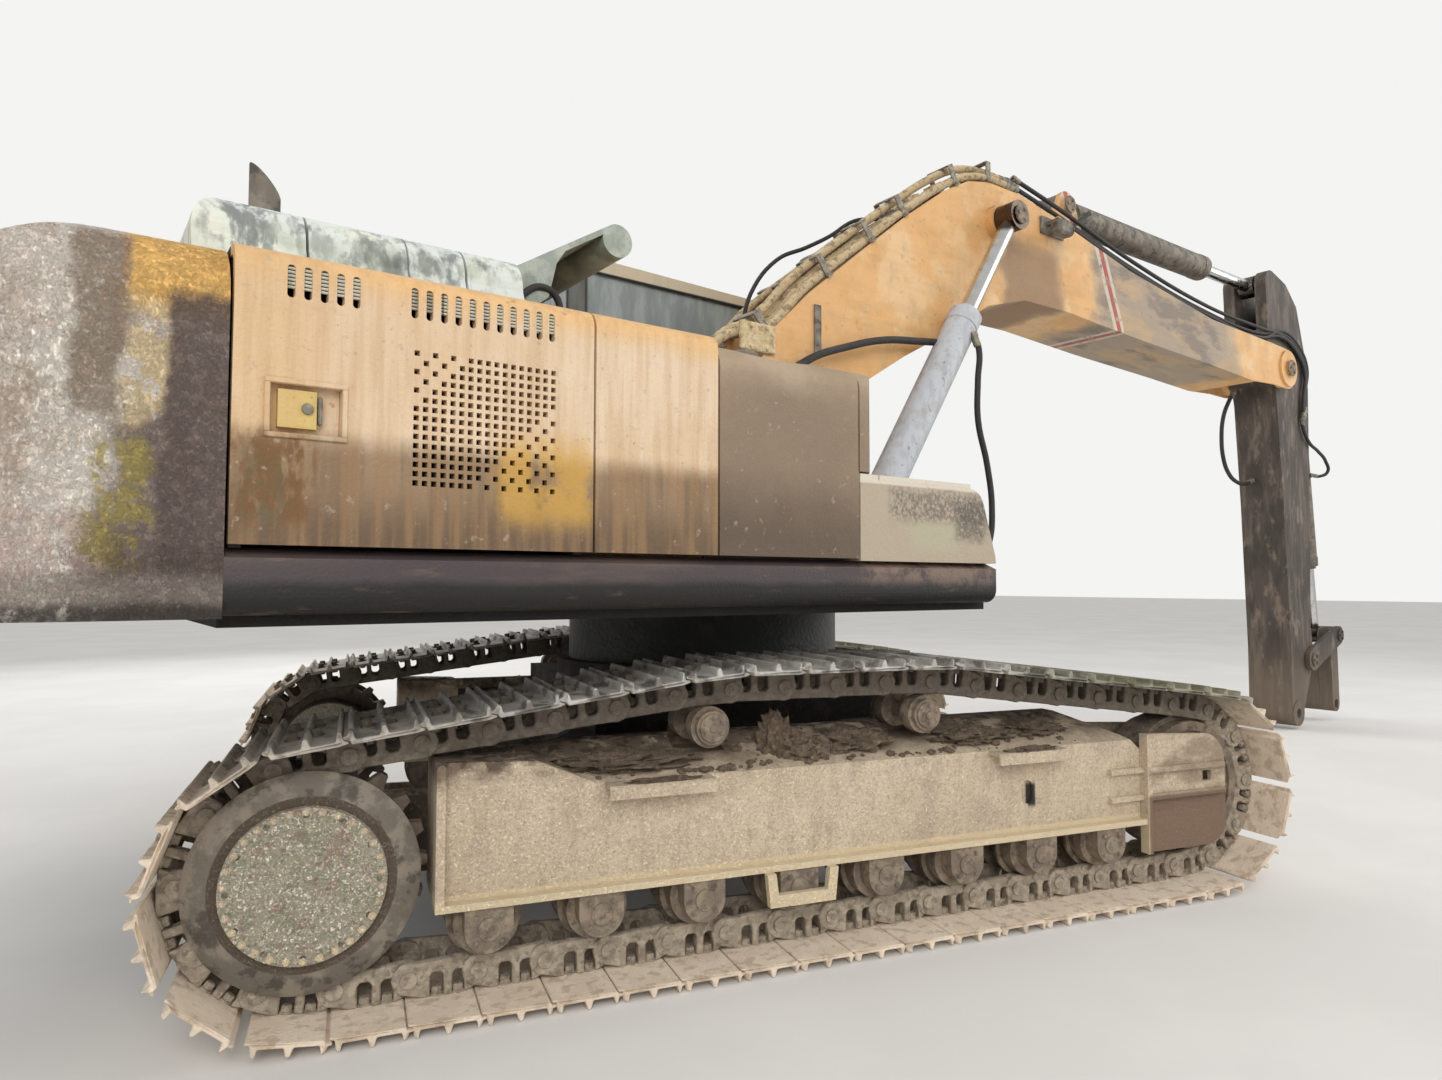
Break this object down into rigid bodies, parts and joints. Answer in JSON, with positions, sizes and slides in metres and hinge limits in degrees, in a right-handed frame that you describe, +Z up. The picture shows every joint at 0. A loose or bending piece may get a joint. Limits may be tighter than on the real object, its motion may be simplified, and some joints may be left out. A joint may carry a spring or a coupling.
{
  "type": "crawler excavator",
  "caption": "Full-size crawler excavator with tracks, slewing upper structure, cab, boom, arm and hydraulic cylinders; its bucket is missing.",
  "frame": {"origin": "on the ground under the centre of the swing bearing", "axes": "+X towards the front of the upper structure, +Y to its left, +Z up"},
  "size_m": [11.036, 4.222, 4.2727],
  "materials": {
    "track": "dusty worn steel",
    "frame": "dusty paint",
    "dark_frame": "dark dusty paint",
    "roller": "worn steel",
    "bearing": "greasy steel",
    "skirt": "dark dusty paint",
    "weight": "peeled paint on a casting",
    "block": "plain block",
    "panel": "faded ochre paint",
    "hood": "faded light grey paint",
    "cab": "dusty paint",
    "glass": "dark dusty glass",
    "seat": "woven seat cover",
    "control": "moulded plastic",
    "boom": "faded orange paint",
    "pipe": "dusty steel pipe",
    "barrel": "dusty paint",
    "rod": "bright rod",
    "arm": "dark dirty paint",
    "link": "dark casting"
  },
  "bodies": {
    "undercarriage": {"track_left": "track", "track_right": "track", "side_frames": "frame", "carbody": "dark_frame", "sprockets": "roller", "final_drives": "frame", "idlers": "roller", "bottom_rollers": "roller", "carrier_rollers": "roller", "roller_guards": "frame", "swing_bearing": "bearing"},
    "upper": {"deck": "dark_frame", "side_skirts": "skirt", "counterweight": "weight", "engine": "block", "hydraulic_tank": "panel", "fuel_tank": "panel", "house_frame": "dark_frame", "tool_box": "panel", "engine_hood": "hood", "cab_shell": "cab", "cab_glass": "glass", "operator_seat": "seat", "control_stands": "control", "deck_hydraulics": "block"},
    "rear_door_right": {"rear_door_right": "panel"},
    "rear_door_left": {"rear_door_left": "panel"},
    "front_door_left": {"front_door_left": "panel"},
    "hood_lid": {"hood_lid": "hood"},
    "front_hood_lid": {"front_hood_lid": "hood"},
    "tool_box_lid": {"tool_box_lid": "panel"},
    "cab_door": {"cab_door": "cab"},
    "boom": {"boom": "boom", "boom_pipes": "pipe"},
    "boom_barrel_left": {"boom_barrel_left": "barrel"},
    "boom_rod_left": {"boom_rod_left": "rod"},
    "boom_barrel_right": {"boom_barrel_right": "barrel"},
    "boom_rod_right": {"boom_rod_right": "rod"},
    "arm": {"arm": "arm"},
    "arm_barrel": {"arm_barrel": "barrel"},
    "arm_rod": {"arm_rod": "rod"},
    "bucket_barrel": {"bucket_barrel": "barrel"},
    "bucket_rod": {"bucket_rod": "rod"},
    "rocker_links": {"rocker_links": "link"},
    "bucket_link": {"bucket_link": "link"}
  },
  "joints": [
    {"name": "slew", "type": "hinge", "parent": "undercarriage", "child": "upper", "pos_m": [0, 0, 1], "axis": [0, 0, 1], "continuous": true},
    {"name": "boom_lift", "type": "hinge", "parent": "upper", "child": "boom", "pos_m": [0.05, 0, 1.8], "axis": [0, -1, 0], "range_deg": [-48, 45]},
    {"name": "boom_barrel_left_tilt", "type": "hinge", "parent": "upper", "child": "boom_barrel_left", "pos_m": [0.68, 0.406, 1.48], "axis": [0, -1, 0], "range_deg": [-50.9, 47.8]},
    {"name": "boom_rod_left_stroke", "type": "slide", "parent": "boom_barrel_left", "child": "boom_rod_left", "axis": [0.5459, 0, 0.8378], "range_m": [-0.545, 0.511]},
    {"name": "boom_barrel_right_tilt", "type": "hinge", "parent": "upper", "child": "boom_barrel_right", "pos_m": [0.68, -0.406, 1.48], "axis": [0, -1, 0], "range_deg": [-50.9, 47.8]},
    {"name": "boom_rod_right_stroke", "type": "slide", "parent": "boom_barrel_right", "child": "boom_rod_right", "axis": [0.5459, 0, 0.8378], "range_m": [-0.545, 0.511]},
    {"name": "arm_swing", "type": "hinge", "parent": "boom", "child": "arm", "pos_m": [6.4, 0, 3.34], "axis": [0, 1, 0], "range_deg": [-50, 46]},
    {"name": "arm_barrel_tilt", "type": "hinge", "parent": "boom", "child": "arm_barrel", "pos_m": [3.18, 0, 4.13], "axis": [0, 1, 0], "range_deg": [-2.6, 2.8]},
    {"name": "arm_rod_stroke", "type": "slide", "parent": "arm_barrel", "child": "arm_rod", "axis": [1, 0, 0.0095], "range_m": [-0.66, 0.607]},
    {"name": "rocker_swing", "type": "hinge", "parent": "arm", "child": "rocker_links", "pos_m": [6.925, 0, 0.64], "axis": [0, 1, 0], "range_deg": [-38, 35]},
    {"name": "bucket_barrel_tilt", "type": "hinge", "parent": "arm", "child": "bucket_barrel", "pos_m": [7.21, 0, 3.4], "axis": [0, 1, 0], "range_deg": [-2.8, 3]},
    {"name": "bucket_rod_stroke", "type": "slide", "parent": "bucket_barrel", "child": "bucket_rod", "axis": [0.1245, 0, -0.9922], "range_m": [-0.394, 0.363]},
    {"name": "bucket_link_swing", "type": "hinge", "parent": "rocker_links", "child": "bucket_link", "pos_m": [7.53, 0, 0.85], "axis": [0, -1, 0], "range_deg": [-20, 60]},
    {"name": "rear_door_right_hinge", "type": "hinge", "parent": "upper", "child": "rear_door_right", "pos_m": [-1.458, -1.5, 1.84], "axis": [0, 0, 1], "range_deg": [0, 105]},
    {"name": "rear_door_left_hinge", "type": "hinge", "parent": "upper", "child": "rear_door_left", "pos_m": [-1.458, 1.5, 1.84], "axis": [0, 0, -1], "range_deg": [0, 105]},
    {"name": "front_door_left_hinge", "type": "hinge", "parent": "upper", "child": "front_door_left", "pos_m": [-0.56, 1.5, 1.84], "axis": [0, 0, -1], "range_deg": [0, 100]},
    {"name": "hood_lid_hinge", "type": "hinge", "parent": "upper", "child": "hood_lid", "pos_m": [-2.1937, 0, 2.432], "axis": [0, -1, 0], "range_deg": [0, 70]},
    {"name": "front_hood_lid_hinge", "type": "hinge", "parent": "upper", "child": "front_hood_lid", "pos_m": [-1.534, 0, 2.412], "axis": [0, -1, 0], "range_deg": [-30, 35]},
    {"name": "tool_box_lid_hinge", "type": "hinge", "parent": "upper", "child": "tool_box_lid", "pos_m": [0, -0.94, 1.758], "axis": [-1, 0, 0], "range_deg": [0, 95]},
    {"name": "cab_door_hinge", "type": "hinge", "parent": "upper", "child": "cab_door", "pos_m": [0.216, 1.4823, 2.2], "axis": [0, 0, 1], "range_deg": [0, 110]}
  ],
  "couplings": [
    {"joint": "boom_barrel_left_tilt", "follows": "boom_lift", "ratio": 1.0508},
    {"joint": "boom_rod_left_stroke", "follows": "boom_lift", "m_per_rad": 0.6465},
    {"joint": "boom_barrel_right_tilt", "follows": "boom_lift", "ratio": 1.0508},
    {"joint": "boom_rod_right_stroke", "follows": "boom_lift", "m_per_rad": 0.6465},
    {"joint": "arm_barrel_tilt", "follows": "arm_swing", "ratio": -0.0455},
    {"joint": "arm_rod_stroke", "follows": "arm_swing", "m_per_rad": 0.7523},
    {"joint": "bucket_barrel_tilt", "follows": "rocker_swing", "ratio": -0.067},
    {"joint": "bucket_rod_stroke", "follows": "rocker_swing", "m_per_rad": 0.59}
  ]
}
